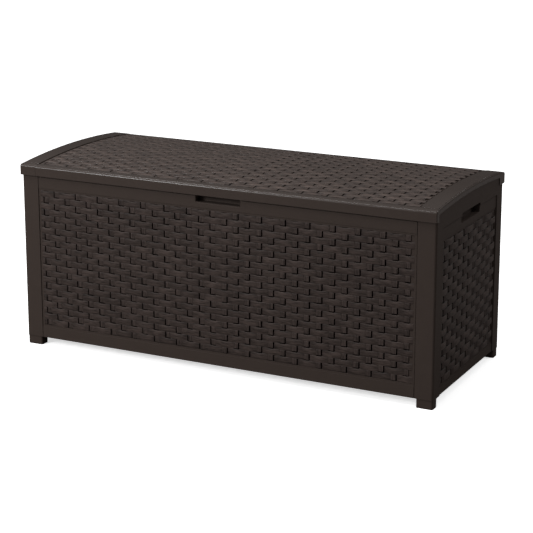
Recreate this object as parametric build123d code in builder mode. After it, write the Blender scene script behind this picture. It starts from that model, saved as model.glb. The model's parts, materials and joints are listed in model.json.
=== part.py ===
from build123d import *
import math
import os

os.makedirs("parts", exist_ok=True)

# A resin deck storage box. Millimetres, +Z up, the front faces -Y.
# The origin is on the ground, at the middle of the four feet.

# Driving dimensions of the body
body_width = 1346
body_depth = 540
foot_height = 27
wall_base = 27            # lower edge of the walls, level with the top of the feet
half_width = body_width / 2
half_depth = body_depth / 2

# Corner posts
post_width = 56           # seen from the front
post_depth = 38
foot_inset = 1.5          # feet behind the posts' outer faces
foot_width = 50
foot_depth = 33
foot_flare = 4            # height over which a foot widens into its post
foot_corner = 5
corner_radius = 7
seam = 1.6                # gap where a wall panel meets a post

# Shadow grooves, below the lid's skirt at the front and below the arch at the ends
shadow_height = 4.5       # how far the front groove reaches below the skirt's edge
shadow_rise = 3           # and behind the skirt
shadow_depth = 2.5
shadow_margin = 8         # plain face kept beside the finger recess
arch_groove = 2.5
arch_groove_depth = 1.2

# Twin-skinned walls
wall_thickness = 30       # front and back
side_thickness = 28
skin = 2.2
front_top = 563           # top edge of the front and back panels
ledge_reach = 13          # ledges that carry the floor
ledge_height = 4
flute_rib = 3             # web between two hollow flutes

# Woven-look fields
weave_depth = 3.5         # the field's base below the plain rails
bead_width = 9            # stiffening beads on the hidden skins
bead_height = 1.5
rim_width = 6             # raised bead around each field
rim_height = 2
front_weave_low = 62
front_weave_high = 500
side_weave_low = 52
side_weave_high = 475
side_frame = 51           # plain post face beside a side panel's field
side_step_height = 512    # where the side's rail steps in below the arch
side_step = 2.5

# Tongue of the front and back panels, and its groove in the post
tongue_reach = 13
tongue_thickness = 14
tongue_setback = 8        # from the wall's outer face to the tongue
tongue_clearance = 0.5

# Lid
lid_overhang_side = 2.5
lid_overhang_front = 8
lid_half_width = half_width + lid_overhang_side
lid_half_depth = half_depth + lid_overhang_front
skirt_bottom = 538
below_skirt = skirt_bottom - 10
skirt_thickness = 3.5
band_crown = 586          # top of the raised end panels at the lid's middle
panel_raise = 1.2         # raised panel above the plain edge around it
panel_inset = 5           # from the lid's end to its raised panel
panel_edge = 0.9
cap_raise = 0.8           # end caps above the sheet between them
cap_proud = 0.4           # end caps in front of the skirt between them
band_width = 55
arch_rise = 14.5          # how far the crown stands above the lid's long edges
lid_weave_depth = 3
lid_skin = 2.2
edge_radius = 8           # long front and rear top edges
end_radius = 3            # the lid's arched ends
lid_strip = 20            # plain strip along the long edges
end_gap = 0.8             # between the body's end and the lid's end lip
lip_drop = 8              # how far the end lip hangs below the lid's sheet
front_return = 16         # skirt's return around the front corners
rear_return = 45
arch_radius = (lid_half_depth**2 + arch_rise**2) / (2 * arch_rise)
cap_crown = band_crown - panel_raise
sheet_crown = cap_crown - cap_raise
field_crown = sheet_crown - lid_weave_depth
lid_underside = field_crown - lid_skin

# Finger recess in the front panel
recess_width = 144
recess_bottom = 516
recess_top = 552
recess_depth = 26

# Hand grips in the side panels
grip_width = 150
grip_bottom = 492
grip_top = 521
grip_hollow_top = 533     # fingers curl up behind the lip
grip_depth = 23
grip_lip = 5

# Hinges along the back
pivot_y = half_depth + 4.4
pivot_z = skirt_bottom + 3.8
barrel_radius = 4
pin_radius = 1.75
pin_running_clearance = 0.1
body_knuckle = 32
lid_knuckle = 18
knuckle_gap = 0.6
pin_head_radius = 2.6
pin_head_height = 1.4
head_seat_depth = 1.8     # counterbore for the pin's head in the lid's knuckle
head_seat_radius = 2.9
hinge_places = [-450, 0, 450]
side_names = ["left", "center", "right"]
bracket_width = 62
bracket_low = 504
bracket_high = 533        # stays under the skirt's swing
bracket_thickness = 3
bracket_overlap = 3.5     # the neck runs on into the plate and behind the barrel
bracket_screw_spacing = 42
bracket_screw_z = (bracket_low + bracket_high) / 2
bracket_screw_places = [
    (x + sign * bracket_screw_spacing / 2, bracket_screw_z) for x in hinge_places for sign in (-1, 1)
]

# Floor panel
floor_base = wall_base + ledge_height
floor_height = 18
floor_skin = 3
floor_gap = 1.5

# Lid liner
liner_half_width = 612
liner_half_depth = 226
liner_base = 548
liner_skin = 2.5
liner_screw_reach = 16.5  # depth of the pilot holes in the lid's bosses

# Screws
screw_radius = 2
screw_head_radius = 4.2
screw_head_height = 2.6
screw_slot = 1.2
hole_clearance = 0.1
corner_screw_length = 22
liner_screw_length = 16
bracket_screw_length = 14


def arch_height(y, crown):
    """Height of an arch with this crown, at distance y from the lid's middle."""
    return crown - (arch_radius - math.sqrt(arch_radius**2 - y**2))


def block(low, high, mode=Mode.ADD):
    """A box from its lowest corner to its highest, in the open builder."""
    size = [b - a for a, b in zip(low, high)]
    middle = tuple((a + b) / 2 for a, b in zip(low, high))
    with Locations(middle):
        Box(*size, mode=mode)


def arched_block(half_length, half_span, low, crown, mode=Mode.ADD):
    """A block along X whose top follows the lid's arch, in the open builder."""
    side_height = arch_height(half_span, crown)
    with BuildSketch(Plane.YZ) as profile:
        with BuildLine():
            top = ThreePointArc((-half_span, side_height), (0, crown), (half_span, side_height))
            Line(top @ 1, (half_span, low))
            Line((half_span, low), (-half_span, low))
            Line((-half_span, low), top @ 0)
        make_face()
    extrude(profile.sketch, amount=half_length, both=True, mode=mode)


def bead_ring(width, height, corner):
    """A rounded rectangular ring, in the open sketch."""
    RectangleRounded(width, height, corner)
    RectangleRounded(
        width - 2 * bead_width, height - 2 * bead_width, corner / 2, mode=Mode.SUBTRACT
    )


def finish(piece, name):
    piece.part.label = name
    export_step(piece.part, f"parts/{name}.step")


# Long walls: a twin-skinned board between the posts, hollow flutes open downwards,
# a tongue at each end and a ledge inside for the floor. They are drawn as the front
# wall; the back wall is turned half a turn about Z.

wall_half = half_width - post_width - seam
tongue_y = -half_depth + tongue_setback + tongue_thickness / 2
inner_y = -half_depth + wall_thickness
flute_count = 10
flute_pitch = (2 * wall_half - flute_rib) / flute_count
flute_half = (flute_pitch - flute_rib) / 2
flute_outer_y = -half_depth + weave_depth + skin
flute_thickness = wall_thickness - weave_depth - 2 * skin
screw_heights = [90, 290, 490]
wall_bead_length = 420


def long_wall(recessed):
    with BuildPart() as wall:
        block(
            (-wall_half, -half_depth, wall_base),
            (wall_half, inner_y, front_top),
        )
        # Tongues
        with Locations((0, tongue_y, (floor_base + front_top) / 2)):
            Box(2 * (wall_half + tongue_reach), tongue_thickness, front_top - floor_base)
        # Floor ledge
        block(
            (-wall_half, inner_y, wall_base),
            (wall_half, inner_y + ledge_reach, wall_base + ledge_height),
        )
        # Woven field sunk between the plain rails, with its bead
        with BuildSketch(Plane.XZ.offset(half_depth)):
            with Locations((0, (front_weave_low + front_weave_high) / 2)):
                Rectangle(2 * wall_half, front_weave_high - front_weave_low)
        extrude(amount=-weave_depth, mode=Mode.SUBTRACT)
        with BuildSketch(Plane.XZ.offset(half_depth - weave_depth)):
            with Locations((0, (front_weave_low + front_weave_high) / 2)):
                Rectangle(2 * wall_half, front_weave_high - front_weave_low)
                Rectangle(
                    2 * (wall_half - rim_width),
                    front_weave_high - front_weave_low - 2 * rim_width,
                    mode=Mode.SUBTRACT,
                )
        extrude(amount=rim_height)
        # Shadow groove on each side of the finger recess
        if recessed:
            groove_start = recess_width / 2 + shadow_margin
            for groove_x in ((-wall_half, -groove_start), (groove_start, wall_half)):
                block(
                    (groove_x[0], -half_depth, skirt_bottom - shadow_height),
                    (groove_x[1], -half_depth + shadow_depth, skirt_bottom + shadow_rise),
                    mode=Mode.SUBTRACT,
                )
        # Hollow flutes, shorter under the finger recess
        for i in range(flute_count):
            x = (i - (flute_count - 1) / 2) * flute_pitch
            under_recess = recessed and abs(x) < recess_width / 2 + flute_pitch / 2
            flute_top = (recess_bottom if under_recess else front_top) - skin - 1
            block(
                (x - flute_half, flute_outer_y, wall_base),
                (x + flute_half, flute_outer_y + flute_thickness, flute_top),
                mode=Mode.SUBTRACT,
            )
        # Stiffening beads on the inner skin, one ring to a pair of flutes
        with BuildSketch(Plane.XZ.offset(-inner_y)):
            with Locations((0, (floor_base + floor_height + front_top) / 2)):
                with GridLocations(2 * flute_pitch, 0, flute_count // 2, 1):
                    bead_ring(2 * flute_pitch - 40, wall_bead_length, 14)
        extrude(amount=-bead_height)
        # Screw holes through the tongues
        for x in (-wall_half - tongue_reach / 2, wall_half + tongue_reach / 2):
            for z in screw_heights:
                with Locations(Plane((x, tongue_y, z), x_dir=(1, 0, 0), z_dir=(0, 1, 0))):
                    Cylinder(screw_radius + hole_clearance, tongue_thickness + 2, mode=Mode.SUBTRACT)
    return wall.part


with BuildPart() as front_panel:
    add(long_wall(recessed=True))
    # Finger recess, open at the front and rising behind the lid's skirt
    recess_outline = Plane.XZ.offset(half_depth)
    with BuildSketch(recess_outline):
        with Locations((0, (recess_bottom + recess_top) / 2)):
            RectangleRounded(recess_width, recess_top - recess_bottom, 4)
    extrude(amount=-recess_depth, mode=Mode.SUBTRACT)
    # Bevelled rim around the mouth
    mouth = (
        front_panel.edges()
        .filter_by_position(Axis.Y, -half_depth - 0.01, -half_depth + 0.01)
        .filter_by_position(Axis.Z, recess_bottom - 1, recess_top + 1)
        .filter_by_position(Axis.X, -recess_width / 2 - 1, recess_width / 2 + 1)
    )
    chamfer(mouth, 2.5)
finish(front_panel, "front_panel")

with BuildPart() as back_panel:
    add(Rot(0, 0, 180) * long_wall(recessed=False))
    # Pilot holes for the hinge brackets' screws
    for x, z in bracket_screw_places:
        with Locations(Plane((x, half_depth, z), x_dir=(1, 0, 0), z_dir=(0, 1, 0))):
            Cylinder(screw_radius + hole_clearance, 30, mode=Mode.SUBTRACT)
finish(back_panel, "back_panel")


# Hinge brackets: a plate on the back panel's top rail that rises to the body's knuckle

for x, side_name in zip(hinge_places, side_names):
    with BuildPart() as hinge_bracket:
        with BuildSketch(Plane.XZ.offset(-half_depth)):
            with Locations((x, (bracket_low + bracket_high) / 2)):
                RectangleRounded(bracket_width, bracket_high - bracket_low, 4)
            with Locations((x, (bracket_high + pivot_z) / 2)):
                Rectangle(body_knuckle, pivot_z - bracket_high + 2 * bracket_overlap)
        extrude(amount=-bracket_thickness)
        block(
            (x - body_knuckle / 2, half_depth, pivot_z - barrel_radius),
            (x + body_knuckle / 2, pivot_y, pivot_z + barrel_radius),
        )
        with Locations(Plane((x, pivot_y, pivot_z), x_dir=(0, 1, 0), z_dir=(1, 0, 0))):
            Cylinder(barrel_radius, body_knuckle)
            Cylinder(pin_radius, body_knuckle + 1, mode=Mode.SUBTRACT)
        for screw_x, z in bracket_screw_places:
            if abs(screw_x - x) < bracket_width:
                with Locations(Plane((screw_x, half_depth, z), x_dir=(1, 0, 0), z_dir=(0, 1, 0))):
                    Cylinder(screw_radius + hole_clearance, 20, mode=Mode.SUBTRACT)
    finish(hinge_bracket, f"{side_name}_hinge_bracket")


# Side panels, drawn as the right one

side_inner_x = half_width - side_thickness
post_inner_x = half_width - post_width
post_inner_y = half_depth - post_depth
side_arch = lid_underside - 1
post_top = front_top
post_hollow_x = (post_inner_x + 18, half_width - 9)
post_hollow_y = (post_inner_y + 7, half_depth - 9)
field_half = half_depth - side_frame
side_flute_count = 4
side_flute_pitch = (2 * (post_inner_y - 2) - flute_rib) / side_flute_count
side_flute_half = (side_flute_pitch - flute_rib) / 2
side_flute_outer_x = half_width - side_step - weave_depth - skin
side_flute_inner_x = side_inner_x + skin


def side_wall():
    with BuildPart() as side:
        # Wall with its arched top
        with BuildSketch(Plane.YZ.offset(side_inner_x)):
            with BuildLine():
                end_height = arch_height(half_depth, side_arch)
                crest = ThreePointArc(
                    (-half_depth, end_height), (0, side_arch), (half_depth, end_height)
                )
                Line(crest @ 1, (half_depth, wall_base))
                Line((half_depth, wall_base), (-half_depth, wall_base))
                Line((-half_depth, wall_base), crest @ 0)
            make_face()
        extrude(amount=side_thickness)
        # Corner posts and feet
        for sign in (-1, 1):
            post_y = sorted((sign * half_depth, sign * post_inner_y))
            block(
                (post_inner_x, post_y[0], wall_base),
                (half_width, post_y[1], post_top),
            )
        outer_corners = (
            side.edges()
            .filter_by(Axis.Z)
            .filter_by_position(Axis.X, half_width - 0.1, half_width + 0.1)
            .group_by(Axis.Y)
        )
        fillet(outer_corners[0] + outer_corners[-1], corner_radius)
        for sign in (-1, 1):
            foot_middle = (
                half_width - foot_inset - foot_width / 2,
                sign * (half_depth - foot_inset - foot_depth / 2),
            )
            foot_levels = [
                (0, foot_width, foot_depth),
                (foot_height - foot_flare, foot_width, foot_depth),
                (foot_height, foot_width + foot_inset, foot_depth + foot_inset),
            ]
            for lower, upper in zip(foot_levels, foot_levels[1:]):
                for level, width, depth in (lower, upper):
                    with BuildSketch(Plane.XY.offset(level)):
                        with Locations(foot_middle):
                            RectangleRounded(width, depth, foot_corner)
                loft()
        # Rail and woven field step in below the arch, the field once more
        block(
            (half_width - side_step, -field_half, wall_base - 1),
            (half_width + 1, field_half, side_step_height),
            mode=Mode.SUBTRACT,
        )
        # Shadow groove below the arch
        block(
            (half_width - side_step - arch_groove_depth, -field_half, side_step_height - arch_groove),
            (half_width, field_half, side_step_height),
            mode=Mode.SUBTRACT,
        )
        field_middle = (side_weave_low + side_weave_high) / 2
        field_height = side_weave_high - side_weave_low
        with BuildSketch(Plane.YZ.offset(half_width - side_step)):
            with Locations((0, field_middle)):
                Rectangle(2 * field_half, field_height)
        extrude(amount=-weave_depth, mode=Mode.SUBTRACT)
        with BuildSketch(Plane.YZ.offset(half_width - side_step - weave_depth)):
            with Locations((0, field_middle)):
                Rectangle(2 * field_half, field_height)
                Rectangle(
                    2 * (field_half - rim_width),
                    field_height - 2 * rim_width,
                    mode=Mode.SUBTRACT,
                )
        extrude(amount=rim_height)
        # Grooves for the tongues of the front and back panels
        for sign in (-1, 1):
            with Locations((
                post_inner_x + (tongue_reach + 1) / 2,
                sign * tongue_y,
                (floor_base + post_top) / 2,
            )):
                Box(
                    tongue_reach + 1,
                    tongue_thickness + 2 * tongue_clearance,
                    post_top - floor_base + 0.01,
                    mode=Mode.SUBTRACT,
                )
        # Hollow flutes in the wall and one in each post, open downwards
        for i in range(side_flute_count):
            y = (i - (side_flute_count - 1) / 2) * side_flute_pitch
            under_grip = abs(y) < side_flute_pitch
            flute_top = grip_bottom - skin if under_grip else arch_height(field_half, side_arch) - 8
            block(
                (side_flute_inner_x, y - side_flute_half, wall_base),
                (side_flute_outer_x, y + side_flute_half, flute_top),
                mode=Mode.SUBTRACT,
            )
        for sign in (-1, 1):
            hollow_y = sorted((sign * post_hollow_y[0], sign * post_hollow_y[1]))
            block(
                (post_hollow_x[0], hollow_y[0], -1),
                (post_hollow_x[1], hollow_y[1], post_top - 4),
                mode=Mode.SUBTRACT,
            )
        # Hand grip: a mouth through the outer skin and a taller hollow behind its lip
        with BuildSketch(Plane.YZ.offset(half_width)):
            with Locations((0, (grip_bottom + grip_top) / 2)):
                RectangleRounded(grip_width, grip_top - grip_bottom, 5)
        extrude(amount=-grip_depth, mode=Mode.SUBTRACT)
        block(
            (half_width - grip_depth, -grip_width / 2 + 3, grip_bottom + 3),
            (half_width - grip_lip, grip_width / 2 - 3, grip_hollow_top),
            mode=Mode.SUBTRACT,
        )
        # Floor ledge
        block(
            (side_inner_x - ledge_reach, -post_inner_y, wall_base),
            (side_inner_x, post_inner_y, wall_base + ledge_height),
        )
        # Stiffening beads on the inner skin
        with BuildSketch(Plane.YZ.offset(side_inner_x)):
            with Locations((0, (floor_base + floor_height + front_top) / 2)):
                with GridLocations(2 * side_flute_pitch, 0, side_flute_count // 2, 1):
                    bead_ring(2 * side_flute_pitch - 40, wall_bead_length, 14)
        extrude(amount=-bead_height)
        # Screw holes from inside the post into the tongue's groove
        for sign in (-1, 1):
            for z in screw_heights:
                with Locations(Plane(
                    (post_inner_x + tongue_reach / 2 - seam, sign * (post_inner_y + 8), z),
                    x_dir=(1, 0, 0),
                    z_dir=(0, 1, 0),
                )):
                    Cylinder(screw_radius + hole_clearance, 20, mode=Mode.SUBTRACT)
    return side.part


right_side = side_wall()

with BuildPart() as right_side_panel:
    add(right_side)
finish(right_side_panel, "right_side_panel")

with BuildPart() as left_side_panel:
    add(mirror(right_side, about=Plane.YZ, mode=Mode.PRIVATE))
finish(left_side_panel, "left_side_panel")


# Floor: a skin over a grid of ribs, notched round the posts

floor_half_x = side_inner_x - floor_gap
floor_half_y = -inner_y - floor_gap
floor_notch_x = side_inner_x - post_inner_x + floor_gap
floor_notch_y = -inner_y - post_inner_y + floor_gap
floor_rib = 2.5
floor_columns = 10
floor_rows = 4

with BuildPart() as floor_panel:
    with BuildSketch(Plane.XY.offset(floor_base)):
        Rectangle(2 * floor_half_x, 2 * floor_half_y)
        with GridLocations(
            2 * floor_half_x - floor_notch_x, 2 * floor_half_y - floor_notch_y, 2, 2
        ):
            Rectangle(floor_notch_x, floor_notch_y, mode=Mode.SUBTRACT)
    extrude(amount=floor_height)
    # Cells between the ribs, open downwards
    cell_x = (2 * floor_half_x - 2 * floor_notch_x - floor_rib) / floor_columns
    cell_y = (2 * floor_half_y - 2 * floor_notch_y - floor_rib) / floor_rows
    with BuildSketch(Plane.XY.offset(floor_base)):
        with GridLocations(cell_x, cell_y, floor_columns, floor_rows):
            Rectangle(cell_x - floor_rib, cell_y - floor_rib)
    extrude(amount=floor_height - floor_skin, mode=Mode.SUBTRACT)
    # Stiffening beads on the upper face
    with BuildSketch(Plane.XY.offset(floor_base + floor_height)):
        with GridLocations(2 * cell_x, 0, floor_columns // 2, 1):
            bead_ring(2 * cell_x - 40, 2 * floor_half_y - 70, 16)
    extrude(amount=bead_height)
finish(floor_panel, "floor_panel")


# Lid shell

weave_half_x = lid_half_width - band_width
weave_half_y = lid_half_depth - lid_strip
boss_radius = 6
boss_places = [(x, y) for x in (-520, -260, 0, 260, 520) for y in (-170, 170)]
boss_clearance = 0.6
boss_base = liner_base + 5.5    # the lid's bosses stand on the liner's pads



def long_top_edges(piece):
    """The two long edges where a piece's arch meets its front and back faces."""
    return piece.edges().filter_by(Axis.X).filter_by_position(Axis.Z, skirt_bottom + 1, band_crown)


# The sheet between the end caps, and what is cut away around it
with BuildPart() as sheet_form:
    arched_block(weave_half_x + 1, lid_half_depth - cap_proud, below_skirt, sheet_crown)
    fillet(long_top_edges(sheet_form), edge_radius)

with BuildPart() as cap_step:
    block(
        (-weave_half_x, -lid_half_depth - 1, skirt_bottom - 1),
        (weave_half_x, lid_half_depth + 1, band_crown + 1),
    )
    add(sheet_form.part, mode=Mode.SUBTRACT)

# What is cut away above the base of the woven field
with BuildPart() as field_step:
    block(
        (-weave_half_x, -weave_half_y, skirt_bottom),
        (weave_half_x, weave_half_y, band_crown + 1),
    )
    arched_block(
        weave_half_x + 1, weave_half_y + 1, below_skirt, field_crown, mode=Mode.SUBTRACT
    )

# The bead around the woven field, following the arch
with BuildPart() as field_bead:
    arched_block(weave_half_x, weave_half_y, skirt_bottom, field_crown + rim_height)
    arched_block(
        weave_half_x + 1, weave_half_y + 1, below_skirt, field_crown - 1, mode=Mode.SUBTRACT
    )
    block(
        (-weave_half_x + rim_width, -weave_half_y + rim_width, below_skirt),
        (weave_half_x - rim_width, weave_half_y - rim_width, band_crown),
        mode=Mode.SUBTRACT,
    )

# Raised panels on the end caps
with BuildPart() as cap_panels:
    arched_block(lid_half_width - panel_inset, weave_half_y, liner_base, band_crown)
    block(
        (-weave_half_x, -lid_half_depth, below_skirt),
        (weave_half_x, lid_half_depth, band_crown + 1),
        mode=Mode.SUBTRACT,
    )
    fillet(cap_panels.faces().sort_by(Axis.Z)[-2:].edges(), panel_edge)

# What is cut away from the end skirts, between the corner returns
with BuildPart() as end_cut:
    arched_block(
        lid_half_width + 1, lid_half_depth - 1, skirt_bottom - 5, lid_underside - lip_drop
    )
    for low_y, high_y in (
        (-lid_half_depth - 1, -lid_half_depth + front_return),
        (lid_half_depth - rear_return, lid_half_depth + 1),
    ):
        block(
            (-lid_half_width - 2, low_y, skirt_bottom - 6),
            (lid_half_width + 2, high_y, band_crown),
            mode=Mode.SUBTRACT,
        )

with BuildPart() as lid_shell:
    # Solid arch with skirts
    arched_block(lid_half_width, lid_half_depth, skirt_bottom, cap_crown)
    fillet(long_top_edges(lid_shell), edge_radius)
    end_edges = (
        lid_shell.edges()
        .filter_by_position(Axis.X, -lid_half_width - 0.1, -lid_half_width + 0.1)
        .filter_by_position(Axis.Z, skirt_bottom + 1, band_crown + 1)
        + lid_shell.edges()
        .filter_by_position(Axis.X, lid_half_width - 0.1, lid_half_width + 0.1)
        .filter_by_position(Axis.Z, skirt_bottom + 1, band_crown + 1)
    )
    fillet(end_edges, end_radius)
    add(cap_panels.part)
    add(cap_step.part, mode=Mode.SUBTRACT)
    add(field_step.part, mode=Mode.SUBTRACT)
    add(field_bead.part)
    # Hollow below the sheet
    arched_block(
        half_width + end_gap,
        lid_half_depth - skirt_thickness,
        skirt_bottom - 1,
        lid_underside,
        mode=Mode.SUBTRACT,
    )
    add(end_cut.part, mode=Mode.SUBTRACT)
    # Notches in the rear skirt for the body's knuckles, and the lid's own knuckles
    for x in hinge_places:
        notch_half = body_knuckle / 2 + knuckle_gap
        block(
            (x - notch_half, lid_half_depth - skirt_thickness - 1, skirt_bottom - 1),
            (x + notch_half, lid_half_depth + 1, pivot_z + barrel_radius + 1.2),
            mode=Mode.SUBTRACT,
        )
        for sign in (-1, 1):
            knuckle_x = x + sign * (notch_half + lid_knuckle / 2)
            with Locations(Plane((knuckle_x, pivot_y, pivot_z), x_dir=(0, 1, 0), z_dir=(1, 0, 0))):
                Cylinder(barrel_radius, lid_knuckle)
                Cylinder(pin_radius + pin_running_clearance, lid_knuckle + 2, mode=Mode.SUBTRACT)
        seat_x = x + notch_half + lid_knuckle - head_seat_depth / 2
        with Locations(Plane((seat_x, pivot_y, pivot_z), x_dir=(0, 1, 0), z_dir=(1, 0, 0))):
            Cylinder(head_seat_radius, head_seat_depth, mode=Mode.SUBTRACT)
    # Screw bosses for the liner
    for x, y in boss_places:
        boss_top = arch_height(abs(y) + boss_radius, lid_underside) + 1
        with Locations((x, y, (boss_base + boss_top) / 2)):
            Cylinder(boss_radius, boss_top - boss_base)
        with Locations((x, y, boss_base + liner_screw_reach / 2)):
            Cylinder(screw_radius, liner_screw_reach, mode=Mode.SUBTRACT)
finish(lid_shell, "lid_shell")


# Lid liner: a shallow tray of ribs that closes the underside of the lid

liner_columns = 8
liner_rows = 3
liner_rib = 2.5
liner_cell_x = (2 * liner_half_width - liner_rib) / liner_columns
liner_cell_y = (2 * liner_half_depth - liner_rib) / liner_rows

with BuildPart() as lid_liner:
    arched_block(liner_half_width, liner_half_depth, liner_base, lid_underside - 0.5)
    # Cells open upwards, so the ribs bear on the lid's sheet
    with BuildSketch(Plane.XY.offset(liner_base + liner_skin)):
        with GridLocations(liner_cell_x, liner_cell_y, liner_columns, liner_rows):
            Rectangle(liner_cell_x - liner_rib, liner_cell_y - liner_rib)
    extrude(amount=band_crown - liner_base, mode=Mode.SUBTRACT)
    # Stiffening beads on the face seen when the lid is open
    with BuildSketch(Plane.XY.offset(liner_base)):
        with GridLocations(2 * liner_cell_x, 0, liner_columns // 2, 1):
            bead_ring(2 * liner_cell_x - 40, 2 * liner_half_depth - 150, 14)
    extrude(amount=-bead_height)
    # Clearance round the lid's bosses, pads under them and holes for the screws
    for x, y in boss_places:
        with Locations((x, y, (boss_base + band_crown) / 2)):
            Cylinder(boss_radius + boss_clearance, band_crown - boss_base, mode=Mode.SUBTRACT)
        with Locations((x, y, (liner_base + boss_base) / 2)):
            Cylinder(boss_radius + 2, boss_base - liner_base)
            Cylinder(screw_radius + hole_clearance, 2 * liner_screw_length, mode=Mode.SUBTRACT)
        with Locations((x, y, liner_base)):
            Cylinder(screw_head_radius + 0.4, 2 * screw_head_height, mode=Mode.SUBTRACT)
finish(lid_liner, "lid_liner")


# Hinge pins: headed steel pins through both lid knuckles and the body knuckle

pin_half = body_knuckle / 2 + knuckle_gap + lid_knuckle
for x, side_name in zip(hinge_places, side_names):
    with BuildPart() as hinge_pin:
        with Locations(Plane((x, pivot_y, pivot_z), x_dir=(0, 1, 0), z_dir=(1, 0, 0))):
            Cylinder(pin_radius, 2 * pin_half)
        head_x = x + pin_half - pin_head_height / 2
        with Locations(Plane((head_x, pivot_y, pivot_z), x_dir=(0, 1, 0), z_dir=(1, 0, 0))):
            Cylinder(pin_head_radius, pin_head_height)
        tip = hinge_pin.edges().group_by(Axis.X)[0]
        chamfer(tip, 0.6)
    finish(hinge_pin, f"{side_name}_hinge_pin")


# Screws: a pan head with a crossed drive, drawn head down along -Z from the origin


def pan_screw(length):
    with BuildPart() as screw:
        with BuildSketch(Plane.XZ):
            with BuildLine():
                Line((0, length), (screw_radius * 0.3, length))
                Line((screw_radius * 0.3, length), (screw_radius, length - 3))
                Line((screw_radius, length - 3), (screw_radius, 0))
                Line((screw_radius, 0), (screw_head_radius, 0))
                Line((screw_head_radius, 0), (screw_head_radius, -screw_head_height * 0.4))
                ThreePointArc(
                    (screw_head_radius, -screw_head_height * 0.4),
                    (screw_head_radius * 0.72, -screw_head_height * 0.85),
                    (0, -screw_head_height),
                )
                Line((0, -screw_head_height), (0, length))
            make_face()
        revolve(axis=Axis.Z)
        with BuildSketch(Plane.XY.offset(-screw_head_height)):
            Rectangle(screw_head_radius, screw_slot)
            Rectangle(screw_slot, screw_head_radius)
        extrude(amount=1.4, mode=Mode.SUBTRACT)
    return screw.part


# Corner screws run from inside the box, through the post, into the tongue
corner_screw = pan_screw(corner_screw_length)
corner_x = post_inner_x + tongue_reach / 2 - seam
with BuildPart() as corner_screws:
    for sign_x in (-1, 1):
        for sign_y in (-1, 1):
            for z in screw_heights:
                seat = Plane(
                    (sign_x * corner_x, sign_y * post_inner_y, z),
                    x_dir=(1, 0, 0),
                    z_dir=(0, sign_y, 0),
                )
                add(seat * corner_screw)
finish(corner_screws, "corner_screws")

# Liner screws run up into the lid's bosses, their heads sunk in the liner
liner_screw = pan_screw(liner_screw_length)
with BuildPart() as liner_screws:
    for x, y in boss_places:
        add(Pos(x, y, liner_base + screw_head_height) * liner_screw)
finish(liner_screws, "liner_screws")

# Bracket screws run into the back panel's top rail
bracket_screw = pan_screw(bracket_screw_length)
with BuildPart() as bracket_screws:
    for x, z in bracket_screw_places:
        seat = Plane(
            (x, half_depth + bracket_thickness, z), x_dir=(1, 0, 0), z_dir=(0, -1, 0)
        )
        add(seat * bracket_screw)
finish(bracket_screws, "bracket_screws")
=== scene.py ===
import bpy
import bmesh
import json
import math
import random
from mathutils import Matrix, Vector


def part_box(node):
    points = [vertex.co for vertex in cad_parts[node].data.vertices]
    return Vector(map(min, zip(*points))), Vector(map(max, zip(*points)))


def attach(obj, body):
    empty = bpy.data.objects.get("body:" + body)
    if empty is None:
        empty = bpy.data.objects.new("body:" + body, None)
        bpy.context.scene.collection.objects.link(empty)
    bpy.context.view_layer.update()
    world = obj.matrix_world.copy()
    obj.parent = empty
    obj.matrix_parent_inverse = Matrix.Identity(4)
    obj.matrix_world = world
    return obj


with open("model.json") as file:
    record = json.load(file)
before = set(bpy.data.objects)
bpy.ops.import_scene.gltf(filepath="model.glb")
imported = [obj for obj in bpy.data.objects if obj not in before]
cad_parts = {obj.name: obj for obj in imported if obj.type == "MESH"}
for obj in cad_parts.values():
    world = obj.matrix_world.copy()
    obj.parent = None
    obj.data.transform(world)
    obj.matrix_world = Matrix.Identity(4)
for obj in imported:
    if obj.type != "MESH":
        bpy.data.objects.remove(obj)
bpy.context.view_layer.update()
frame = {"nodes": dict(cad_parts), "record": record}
bpy.ops.object.select_all(action="DESELECT")
nodes = frame["nodes"]
mm = 0.001
print("frame loaded:", len(nodes), "nodes")


def linearHex(code):
    # an sRGB hex value as linear RGBA
    channels = []
    for i in (1, 3, 5):
        c = int(code[i:i + 2], 16) / 255
        channels.append(c / 12.92 if c <= 0.04045 else ((c + 0.055) / 1.055) ** 2.4)
    return (*channels, 1.0)


def addNode(tree, kind, values=None, links=None, **settings):
    # one node with its settings, its fixed inputs and the sockets that feed it
    node = tree.nodes.new(kind)
    for key, value in settings.items():
        setattr(node, key, value)
    for socket, value in (values or {}).items():
        node.inputs[socket].default_value = value
    for socket, source in (links or {}).items():
        tree.links.new(source, node.inputs[socket])
    return node


def spread(tree, source, toRange, fromRange=(0.3, 0.7)):
    # stretches a value between two others; the noises mostly lie between 0.3 and 0.7
    ends = {"From Min": fromRange[0], "From Max": fromRange[1], "To Min": toRange[0], "To Max": toRange[1]}
    return addNode(tree, "ShaderNodeMapRange", ends, {"Value": source}).outputs[0]


def multiply(tree, first, second):
    return addNode(tree, "ShaderNodeMath", links={0: first, 1: second}, operation="MULTIPLY").outputs[0]


def noise(tree, place, scale, **values):
    inputs = {"Scale": scale, **values}
    return addNode(tree, "ShaderNodeTexNoise", inputs, {"Vector": place}).outputs["Fac"]


def scaledColour(tree, colour, tone):
    shade = addNode(tree, "ShaderNodeVectorMath", {0: linearHex(colour)[:3]}, {"Scale": tone},
                    operation="SCALE")
    return shade.outputs[0]


def newMaterial(name):
    material = bpy.data.materials.new(name)
    material.use_nodes = True
    material.node_tree.nodes.clear()
    return material, material.node_tree


def finishMaterial(tree, values, links):
    surface = addNode(tree, "ShaderNodeBsdfPrincipled", values, links)
    addNode(tree, "ShaderNodeOutputMaterial", links={"Surface": surface.outputs[0]})


def selectOnly(*pieces):
    bpy.ops.object.select_all(action="DESELECT")
    for piece in pieces:
        piece.select_set(True)
    bpy.context.view_layer.objects.active = pieces[0]


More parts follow.
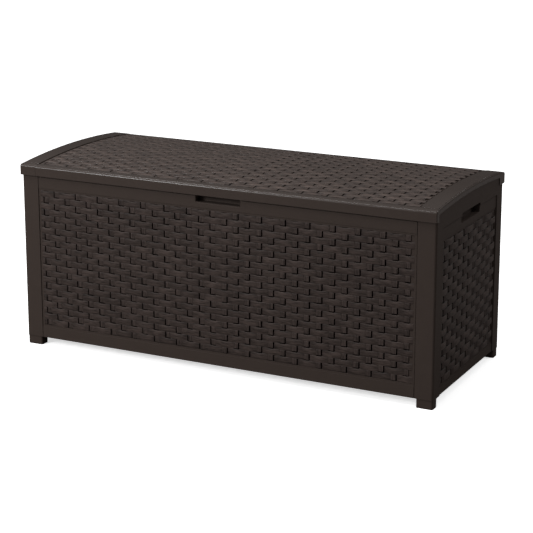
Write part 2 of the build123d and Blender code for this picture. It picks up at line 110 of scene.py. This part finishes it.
def pickVerts(piece, test):
    # in edit mode: selects the vertices whose place passes the test
    mesh = bmesh.from_edit_mesh(piece.data)
    for vert in mesh.verts:
        vert.select_set(False)
    for vert in mesh.verts:
        if test(vert.co):
            vert.select_set(True)
    mesh.select_flush_mode()
    bmesh.update_edit_mesh(piece.data)


bodyBrown = "#372F2B"
caneBrown = "#312926"
# painted light: the same cane brown drawn lighter for the lid, standing in for the sheen its top catches from
# overhead
lidCaneBrownLit = "#352C28"
plasticIndex = 1.49           # how strongly polypropylene and nylon bend light
resinSettings = {
    "stippleGrain": 1.1 * mm,     # spark-eroded mould texture, drawn coarser than the real 0.1 mm or so
    "stippleHeight": 0.2 * mm,
    "stippleTint": (0.95, 1.05),
    "flowWidth": 34 * mm,         # cloudy patches where the resin flowed
    "flowTint": (0.975, 1.025),
    "flowGloss": (-0.015, 0.02),
    "edgeRadius": 0.8 * mm,
    "edgeSamples": 4,
}


def mouldedResin(name, colour, roughness, specular, stipple=0.10):
    # injection-moulded polypropylene, satin from a spark-eroded mould: a soft broad sheen
    # with a very fine stipple, and faint cloudy changes of gloss where the resin flowed
    s = resinSettings
    material, tree = newMaterial(name)
    place = addNode(tree, "ShaderNodeTexCoord").outputs["Object"]
    flow = noise(tree, place, 1 / s["flowWidth"], Detail=3.0, Roughness=0.5)
    grain = noise(tree, place, 1 / s["stippleGrain"], Detail=2.0, Roughness=0.6)
    tone = multiply(tree, spread(tree, flow, s["flowTint"]), spread(tree, grain, s["stippleTint"]))
    gloss = spread(tree, flow, [roughness + change for change in s["flowGloss"]])
    edge = addNode(tree, "ShaderNodeBevel", {"Radius": s["edgeRadius"]}, samples=s["edgeSamples"])
    bump = addNode(tree, "ShaderNodeBump", {"Strength": stipple, "Distance": s["stippleHeight"]},
                   {"Height": grain, "Normal": edge.outputs[0]})
    base = scaledColour(tree, colour, tone)
    finishMaterial(tree, {"Specular IOR Level": specular, "IOR": plasticIndex},
                   {"Base Color": base, "Roughness": gloss, "Normal": bump.outputs[0]})
    return material


caneSettings = {
    "streakLength": 24 * mm,
    "streakWidth": 3.0 * mm,      # drawn coarser than the real grain of about 1 mm
    "streakHeight": 0.35 * mm,
    "streakTint": (0.45, 1.6),
    "streakGloss": (-0.05, 0.1),
    "gapShadeRelief": (0.05, 0.55),    # share of a strand's height over which the painted shade in a gap fades from black to brown
    "crownHighlightRelief": (0.55, 1.0),   # and over which a painted highlight lightens its crown
    # painted shade: how much darker a strand is drawn below its crown
    "shoulderShadeTone": 0.86,
}


def wovenResin(name, colour, roughness, specular, grainScale, crownHighlightTone=1.14, streak=0.35):
    # the same polypropylene moulded over a wicker pattern: split-cane streaks run along each
    # strand and strands differ a little in tone; painted shade turns the gaps between them nearly
    # black and takes away their sheen, and a painted highlight lightens each strand's crown
    s = caneSettings
    material, tree = newMaterial(name)
    place = addNode(tree, "ShaderNodeTexCoord").outputs["Object"]
    stretched = addNode(tree, "ShaderNodeMapping", {"Scale": grainScale}, {"Vector": place})
    cane = noise(tree, stretched.outputs[0], 1.0, Detail=3.0, Roughness=0.65)
    relief = addNode(tree, "ShaderNodeAttribute", attribute_name="relief").outputs["Fac"]
    strandTone = addNode(tree, "ShaderNodeAttribute", attribute_name="tone").outputs["Fac"]
    # painted shade: the colour goes towards black the deeper a point lies in the weave
    gapShade = spread(tree, relief, (0.0, 1.0), s["gapShadeRelief"])
    # painted highlight lightening the crowns over the painted shade on the shoulders
    crownHighlight = spread(tree, relief, (s["shoulderShadeTone"], crownHighlightTone), s["crownHighlightRelief"])
    # the painted shade in the gaps also takes away their sheen
    sheen = addNode(tree, "ShaderNodeMath", {1: specular}, {0: gapShade}, operation="MULTIPLY")
    shade = multiply(tree, multiply(tree, gapShade, crownHighlight), spread(tree, cane, s["streakTint"]))
    base = scaledColour(tree, colour, multiply(tree, shade, strandTone))
    gloss = spread(tree, cane, [roughness + change for change in s["streakGloss"]])
    bump = addNode(tree, "ShaderNodeBump", {"Strength": streak, "Distance": s["streakHeight"]},
                   {"Height": cane})
    finishMaterial(tree, {"IOR": plasticIndex},
                   {"Base Color": base, "Roughness": gloss, "Normal": bump.outputs[0],
                    "Specular IOR Level": sheen.outputs[0]})
    return material


steelSettings = {"patchWidth": 2.5 * mm, "gloss": (0.25, 0.5)}


def platedSteel(name, colour):
    # zinc-plated steel: a grey metal with a soft, slightly patchy shine
    material, tree = newMaterial(name)
    place = addNode(tree, "ShaderNodeTexCoord").outputs["Object"]
    patch = noise(tree, place, 1 / steelSettings["patchWidth"], Detail=2.0)
    gloss = spread(tree, patch, steelSettings["gloss"], (0.0, 1.0))
    finishMaterial(tree, {"Base Color": linearHex(colour), "Metallic": 1.0}, {"Roughness": gloss})
    return material


wallResin = mouldedResin("polypropyleneMouldedWall", bodyBrown, 0.50, 0.08)
lidResin = mouldedResin("polypropyleneMouldedLid", bodyBrown, 0.22, 0.2)
innerResin = mouldedResin("polypropyleneMouldedInner", "#2B2421", 0.55, 0.12, 0.2)
hingeNylon = mouldedResin("nylonMouldedHinge", "#201A18", 0.5, 0.2)
zincSteel = platedSteel("steelZincPlated", "#B4B5B8")
streakLong, streakFine = 1 / caneSettings["streakLength"], 1 / caneSettings["streakWidth"]
alongX = (streakLong, streakFine, streakFine)
alongY = (streakFine, streakLong, streakFine)
alongZ = (streakFine, streakFine, streakLong)
# the painted crown highlight is drawn stronger on the side walls and on the lid
caneLong = wovenResin("polypropyleneCaneLongWall", caneBrown, 0.50, 0.12, alongX)
caneSide = wovenResin("polypropyleneCaneSideWall", caneBrown, 0.46, 0.16, alongY, 1.5, 0.6)
caneLid = wovenResin("polypropyleneCaneLid", lidCaneBrownLit, 0.34, 0.34, alongX, 1.7, 0.8)
stakeWall = wovenResin("polypropyleneStakeWall", caneBrown, 0.52, 0.12, alongZ)
stakeLid = wovenResin("polypropyleneStakeLid", lidCaneBrownLit, 0.36, 0.30, alongY, 1.7, 0.8)

slotMaterials = {
    "wall_resin": wallResin,
    "lid_resin": lidResin,
    "inner_resin": innerResin,
    "hinge_resin": hingeNylon,
    "pin_steel": zincSteel,
    "screw_steel": zincSteel,
}
for part in frame["record"]["subparts"]:
    node = nodes[part["node"]]
    if not node.data.materials:
        node.data.materials.append(None)
    for i in range(len(node.data.materials)):
        node.data.materials[i] = slotMaterials[part["material_slot"]]
print("materials made:", len(bpy.data.materials))


# woven fields: three strands, told apart by the ends that dip, and one stake are modelled and laid in rows
strandSettings = {
    # mm from its middle, height: one end dips beside a stake, the other lies flush with one
    "dippedEnd": [(0, 3.0), (8.5, 2.9), (10.5, 2.8), (19, 2.3), (27.2, 1.8), (27.8, 0.12), (31.2, 0.12)],
    "flushEnd": [(0, 3.0), (8.5, 2.9), (10.5, 2.8), (20, 2.5), (27.2, 2.25), (30.0, 2.0), (31.2, 0.12)],
    # mm across from its middle, drop: snug against its neighbours, open above where it crosses a stake
    "snug": [(0, 0), (6.6, 0.15), (8.8, 0.45), (9.75, 0.85)],
    "open": [(0, 0), (6.2, 0.15), (7.9, 0.7), (9.0, None)],
    "openTo": 9.0,            # half length of the open part
    "skirt": 0.12,            # the thin web that closes the gaps between strands
    "under": 0.6,             # how far it reaches below the field's base
}
stakeSettings = {
    "halfWidth": 7.4,
    "ribs": 4,
    "ribHeight": 0.35,
    "height": 2.1,
    "up": [(0, 1.0), (5.0, 1.0), (9.2, 1.0), (10.6, 0.6)],        # mm along it, share of its height
    "down": [(0, 1.0), (7.4, 1.0), (7.8, 0.05), (12.4, 0.05)],
    "under": 0.6,
}
pitchAlong = 38.15            # mm between stakes
pitchAcross = 19.4            # mm between strands
aside = 10                    # metres: where moved vertices wait, out of the grid's way
gridReach = 0.02              # how near a grid point a vertex is to belong to it
ribReach = 0.3 * mm


def closeUnder(depth):
    # the open rim of a relief is drawn down to a flat underside and filled
    bpy.ops.mesh.select_all(action="SELECT")
    bpy.ops.mesh.region_to_loop()
    bpy.ops.mesh.extrude_edges_move()
    bpy.ops.transform.resize(value=(1, 1, 0), center_override=(0, 0, -depth * mm))
    bpy.ops.mesh.edge_face_add()
    bpy.ops.mesh.select_all(action="SELECT")
    bpy.ops.mesh.normals_make_consistent(inside=False)


def markRelief(piece, top):
    # remembers each vertex's height, from which the cane finish paints shade into the gaps and a highlight on
    # the crowns
    mesh = piece.data
    heights = mesh.attributes.new("relief", "FLOAT", "POINT")
    heights.data.foreach_set("value", [v.co.z / (top * mm) for v in mesh.vertices])


def modelStrand(leftEnd, rightEnd):
    s = strandSettings
    columns = 2 * (len(leftEnd) - 1)
    rows = 2 * (len(s["snug"]) - 1)
    bpy.ops.mesh.primitive_grid_add(x_subdivisions=columns, y_subdivisions=rows, size=2)
    strand = bpy.context.active_object
    bpy.ops.object.mode_set(mode="EDIT")
    for side, stations in ((1, rightEnd), (-1, leftEnd)):
        for i, (along, height) in enumerate(stations):
            for turn in (1, -1):
                profile = s["open"] if turn > 0 and along < s["openTo"] else s["snug"]
                for j, (width, drop) in enumerate(profile):
                    if (side < 0 and i == 0) or (turn < 0 and j == 0):
                        continue
                    gridX, gridY = side * i * 2 / columns, turn * j * 2 / rows
                    pickVerts(strand, lambda co: abs(co.x - gridX) < gridReach
                              and abs(co.y - gridY) < gridReach)
                    top = s["skirt"] if drop is None else max(height - drop, s["skirt"])
                    bpy.ops.transform.translate(value=(
                        aside + side * along * mm - gridX, turn * width * mm - gridY, top * mm))
    bpy.ops.mesh.select_all(action="SELECT")
    bpy.ops.transform.translate(value=(-aside, 0, 0))
    closeUnder(s["under"])
    bpy.ops.object.mode_set(mode="OBJECT")
    markRelief(strand, rightEnd[0][1])
    return strand


def modelStake():
    s = stakeSettings
    columns = 2 * s["ribs"]
    rows = 2 * (len(s["up"]) - 1)
    bpy.ops.mesh.primitive_grid_add(x_subdivisions=columns, y_subdivisions=rows, size=2)
    stake = bpy.context.active_object
    bpy.ops.object.mode_set(mode="EDIT")
    bpy.ops.transform.resize(value=(s["halfWidth"] * mm, 1, 1))
    for i in range(1, columns, 2):
        ribX = (-1 + 2 * i / columns) * s["halfWidth"] * mm
        pickVerts(stake, lambda co: abs(co.x - ribX) < ribReach)
        bpy.ops.transform.translate(value=(0, 0, s["ribHeight"] * mm))
    for side, stations in ((1, s["up"]), (-1, s["down"])):
        for i, (along, share) in enumerate(stations):
            if side < 0 and i == 0:
                continue
            gridY = side * i * 2 / rows
            pickVerts(stake, lambda co: abs(co.y - gridY) < gridReach)
            bpy.ops.transform.translate(value=(
                0, aside + side * along * mm - gridY, share * s["height"] * mm))
    bpy.ops.mesh.select_all(action="SELECT")
    bpy.ops.transform.translate(value=(0, -aside, 0))
    closeUnder(s["under"])
    bpy.ops.object.mode_set(mode="OBJECT")
    markRelief(stake, strandSettings["flushEnd"][0][1])
    return stake


dipped, flush = strandSettings["dippedEnd"], strandSettings["flushEnd"]
strandShapes = {          # by which of its ends dip: left, right
    (True, False): modelStrand(dipped, flush),
    (False, True): modelStrand(flush, dipped),
    (False, False): modelStrand(flush, flush),
}
stakeShape = modelStake()
strandFaces, stakeFaces = len(strandShapes[True, False].data.polygons), len(stakeShape.data.polygons)
print("strand and stake modelled:", strandFaces, "and", stakeFaces, "faces")

fieldSettings = {
    "tongue": 13 * mm,            # a long wall's tongue, hidden in the post's groove
    "rim": 6 * mm,                # raised bead around each field
    "sideFrame": 51 * mm,         # plain post face beside a side's field
    "lidBand": 55 * mm,           # plain band at each end of the lid
    "wallSink": 3.5 * mm,         # the field's base below the long wall's face
    "sideSink": 6 * mm,           # below the post's outer face
    "lidSink": 5 * mm,            # below the top of the lid's arch
    "archRadius": 2672.2 * mm,
}
frontLow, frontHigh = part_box("front_panel")
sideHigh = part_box("right_side_panel")[1]
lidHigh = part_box("lid_shell")[1]
rim = fieldSettings["rim"]
archRadius = fieldSettings["archRadius"]
wallBase = frontLow.y + fieldSettings["wallSink"]
sideBase = sideHigh.x - fieldSettings["sideSink"]

longWall = {"body": "box", "slot": "wall_resin", "materials": (caneLong, stakeWall),
            "half": frontHigh.x - fieldSettings["tongue"] - rim, "from": 68 * mm, "to": 494 * mm,
            "rows": 22, "columns": 32, "depth": 1.0}
endWall = {"body": "box", "slot": "wall_resin", "materials": (caneSide, stakeWall),
           "half": sideHigh.y - fieldSettings["sideFrame"] - rim, "from": 58 * mm, "to": 469 * mm,
           "rows": 21, "columns": 11, "depth": 1.75}
weaveFields = [
    {"name": "front_weave", **longWall, "along": Vector((1, 0, 0)), "outward": Vector((0, -1, 0)),
     "base": wallBase, "seed": 11},
    {"name": "back_weave", **longWall, "along": Vector((-1, 0, 0)), "outward": Vector((0, 1, 0)),
     "base": -wallBase, "seed": 12},
    {"name": "right_weave", **endWall, "along": Vector((0, 1, 0)), "outward": Vector((1, 0, 0)),
     "base": sideBase, "seed": 13},
    {"name": "left_weave", **endWall, "along": Vector((0, -1, 0)), "outward": Vector((-1, 0, 0)),
     "base": -sideBase, "seed": 14},
    {"name": "lid_weave", "body": "lid", "slot": "lid_resin", "materials": (caneLid, stakeLid),
     "half": lidHigh.x - fieldSettings["lidBand"] - rim, "from": -252 * mm, "to": 252 * mm,
     "rows": 26, "columns": 32, "depth": 1.42, "along": Vector((1, 0, 0)), "outward": Vector((0, 0, 1)),
     "base": lidHigh.z - fieldSettings["lidSink"], "seed": 15},
]
layingSettings = {
    # mm
    "stakeDrift": 1.4,            # how far a stake wanders from the even pitch
    "stakeShift": 0.5,            # a stake's offset towards the middle of its field
    "rowShift": 0.5,
    "strandShift": 0.3,
    # radians
    "strandTilt": 0.008,
    "stakeTilt": 0.02,
    # shares
    "strandHeight": (0.93, 1.0),
    "strandTone": (0.84, 1.16),
    "stakeTone": (0.9, 1.1),
}
smoothBelow = math.radians(50)


def placeOn(field, u, v, stretchU=1.0, stretchV=1.0, height=1.0):
    # a copy's place: u along the strands, v across them, its top facing out of the wall
    along, outward = field["along"], field["outward"]
    across = outward.cross(along)
    if outward.z > 0.5:       # the lid's field follows its arch
        lean = math.asin(v / archRadius)
        origin = Vector((u, v, field["base"] - archRadius * (1 - math.cos(lean))))
        across = Vector((0, math.cos(lean), -math.sin(lean)))
        outward = Vector((0, math.sin(lean), math.cos(lean)))
    else:
        origin = along * u + across * v + Vector([abs(a) for a in outward]) * field["base"]
    turn = Matrix((along, across, outward)).transposed().to_4x4()
    return Matrix.Translation(origin) @ turn @ Matrix.Diagonal((stretchU, stretchV, height, 1.0))


def layCopies(laidOut, name, material):
    copies = []
    for shape, place, tone in laidOut:
        piece = shape.copy()
        piece.data = shape.data.copy()
        values = piece.data.attributes.new("tone", "FLOAT", "POINT")
        values.data.foreach_set("value", [tone] * len(piece.data.vertices))
        piece.matrix_world = place
        bpy.context.scene.collection.objects.link(piece)
        copies.append(piece)
    selectOnly(*copies)
    bpy.ops.object.join()
    laid = bpy.context.active_object
    bpy.ops.object.transform_apply(location=True, rotation=True, scale=True)
    laid.name = laid.data.name = name
    laid.data.materials.clear()
    laid.data.materials.append(material)
    return laid


def trimTo(piece, field):
    # cuts the laid copies off square at the field's rim
    along = field["along"]
    across = field["outward"].cross(along)
    ends = [(along, field["half"]), (-along, field["half"]), (across, field["to"]), (-across, -field["from"])]
    selectOnly(piece)
    bpy.ops.object.mode_set(mode="EDIT")
    for normal, distance in ends:
        bpy.ops.mesh.select_all(action="SELECT")
        bpy.ops.mesh.bisect(plane_co=normal * distance, plane_no=normal, use_fill=True, clear_outer=True)
    bpy.ops.object.mode_set(mode="OBJECT")


def layField(field):
    s = layingSettings
    draw = random.Random(field["seed"])
    rows, columns = field["rows"], field["columns"]
    pitchU = 2 * field["half"] / columns
    pitchV = (field["to"] - field["from"]) / rows
    stretchV = pitchV / (pitchAcross * mm)
    wander = [draw.uniform(-1, 1) for _ in range(columns + 4)]
    stakesU = []
    for c in range(-1, columns + 2):
        drift = (wander[c + 1] + wander[c + 2]) * s["stakeDrift"] * mm
        stakesU.append((c - 0.5 - columns / 2) * pitchU + drift)
    strandCopies, stakeCopies = [], []
    for r in range(rows):
        v = field["from"] + (r + 0.5) * pitchV
        rowShift = draw.uniform(-s["rowShift"], s["rowShift"]) * mm
        for i in range(1, len(stakesU) - 1):
            u = stakesU[i]
            half = 1 if u > 0 else -1       # the pattern is mirrored about the field's middle
            if (r + i) % 2:
                middle = (stakesU[i - 1] + stakesU[i + 1]) / 2
                stretchU = (stakesU[i + 1] - stakesU[i - 1]) / (2 * pitchAlong * mm)
                tilt = draw.uniform(-s["strandTilt"], s["strandTilt"])
                shift = draw.uniform(-s["strandShift"], s["strandShift"]) * mm
                height = field["depth"] * draw.uniform(*s["strandHeight"])
                place = placeOn(field, middle, v + rowShift + shift, stretchU, stretchV, height)
                shape = strandShapes[stakesU[i - 1] > 0, stakesU[i + 1] < 0]
                copies, toneRange = strandCopies, s["strandTone"]
            else:
                place = placeOn(field, u - s["stakeShift"] * half * mm, v, 1.0, stretchV, field["depth"])
                tilt = draw.uniform(-s["stakeTilt"], s["stakeTilt"])
                shape = stakeShape
                copies, toneRange = stakeCopies, s["stakeTone"]
            copies.append((shape, place @ Matrix.Rotation(tilt, 4, "Z"), draw.uniform(*toneRange)))
    strands = layCopies(strandCopies, field["name"] + "_strands", field["materials"][0])
    stakes = layCopies(stakeCopies, field["name"] + "_stakes", field["materials"][1])
    for piece in (strands, stakes):
        trimTo(piece, field)
        selectOnly(piece)
        bpy.ops.object.shade_smooth_by_angle(angle=smoothBelow)
        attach(piece, field["body"])
    print("woven:", field["name"], len(strandCopies), "strands,", len(stakeCopies), "stakes")


for field in weaveFields:
    layField(field)
for shape in (*strandShapes.values(), stakeShape):
    bpy.data.objects.remove(shape)


# the backdrop is white, but throws back only a little light so that the box keeps its dark sides
stageSettings = {"floorSize": 60.0, "floorColour": "#F7F7F7", "bounceColour": "#7A7674", "litThrough": 0.62}
white = (1, 1, 1, 1)
bpy.ops.mesh.primitive_plane_add(size=stageSettings["floorSize"], location=(0, 0, 0))
floor = bpy.context.active_object
floor.name = "studio_floor"
floorMaterial, tree = newMaterial("paperBackdrop")
paper = addNode(tree, "ShaderNodeBsdfDiffuse", {"Color": linearHex(stageSettings["floorColour"])})
dimPaper = addNode(tree, "ShaderNodeBsdfDiffuse", {"Color": linearHex(stageSettings["bounceColour"])})
seenFloor = addNode(tree, "ShaderNodeLightPath").outputs["Is Camera Ray"]
litThrough = addNode(tree, "ShaderNodeEmission", {"Color": white, "Strength": stageSettings["litThrough"]})
seenPaper = addNode(tree, "ShaderNodeAddShader", links={0: paper.outputs[0], 1: litThrough.outputs[0]})
floorMix = addNode(tree, "ShaderNodeMixShader",
                   links={0: seenFloor, 1: dimPaper.outputs[0], 2: seenPaper.outputs[0]})
addNode(tree, "ShaderNodeOutputMaterial", links={"Surface": floorMix.outputs[0]})
floor.data.materials.append(floorMaterial)

domeSettings = {
    "overheadFrom": (0.28, 0.9),      # share of the way up
    "overheadLight": (0.05, 0.62),
    "brightSide": (-0.75, -0.6, 0.25),        # the studio's wall to the front left is the bright one
    "sideFrom": (0.0, 1.0),
    "sideLight": (0.0, 0.7),
}
world = bpy.data.worlds.new("studioDome")
bpy.context.scene.world = world
world.use_nodes = True
tree = world.node_tree
tree.nodes.clear()
direction = addNode(tree, "ShaderNodeTexCoord").outputs["Generated"]
height = addNode(tree, "ShaderNodeSeparateXYZ", links={0: direction}).outputs["Z"]
overhead = spread(tree, height, domeSettings["overheadLight"], domeSettings["overheadFrom"])
towardKey = addNode(tree, "ShaderNodeVectorMath", {1: domeSettings["brightSide"]}, {0: direction},
                    operation="DOT_PRODUCT").outputs["Value"]
sideGlow = spread(tree, towardKey, domeSettings["sideLight"], domeSettings["sideFrom"])
dome = addNode(tree, "ShaderNodeMath", links={0: overhead, 1: sideGlow}, operation="ADD")
seen = addNode(tree, "ShaderNodeLightPath").outputs["Is Camera Ray"]
glow = addNode(tree, "ShaderNodeMix", {"B": 1.0}, {"Factor": seen, "A": dome.outputs[0]}, data_type="FLOAT")
backdrop = addNode(tree, "ShaderNodeBackground", {"Color": white}, {"Strength": glow.outputs[0]})
addNode(tree, "ShaderNodeOutputWorld", links={"Surface": backdrop.outputs[0]})

lights = [
    {"name": "keySoftbox", "at": (-2.4, -3.7, 2.1), "size": (1.1, 1.1), "power": 125},
    {"name": "topSoftbox", "at": (-1.2, -0.9, 3.4), "size": (3.2, 0.2), "power": 42},
    {"name": "rearSoftbox", "at": (3.2, 1.9, 2.5), "size": (0.8, 0.8), "power": 40},
]
boxMiddle = Vector((0, 0, 0.3))
for settings in lights:
    bpy.ops.object.light_add(type="AREA", location=settings["at"])
    lamp = bpy.context.active_object
    lamp.name = settings["name"]
    lamp.data.shape = "RECTANGLE"
    lamp.data.size, lamp.data.size_y = settings["size"]
    lamp.data.energy = settings["power"]
    lamp.rotation_euler = (boxMiddle - Vector(settings["at"])).to_track_quat("-Z", "Y").to_euler()

cameraSettings = {"at": (2.2809, -4.5018, 1.6829), "turn": 26.649, "down": 13.955,
                  "lens": 116.27, "sensor": 36, "rise": -0.0994, "reach": 200}
bpy.ops.object.camera_add(location=cameraSettings["at"], rotation=(
    math.radians(90 - cameraSettings["down"]), 0, math.radians(cameraSettings["turn"])))
camera = bpy.context.active_object
camera.data.lens = cameraSettings["lens"]
camera.data.sensor_width = cameraSettings["sensor"]
camera.data.shift_y = cameraSettings["rise"]
camera.data.clip_end = cameraSettings["reach"]
bpy.context.scene.camera = camera
bpy.context.scene.view_settings.view_transform = "Standard"
print("studio lit")
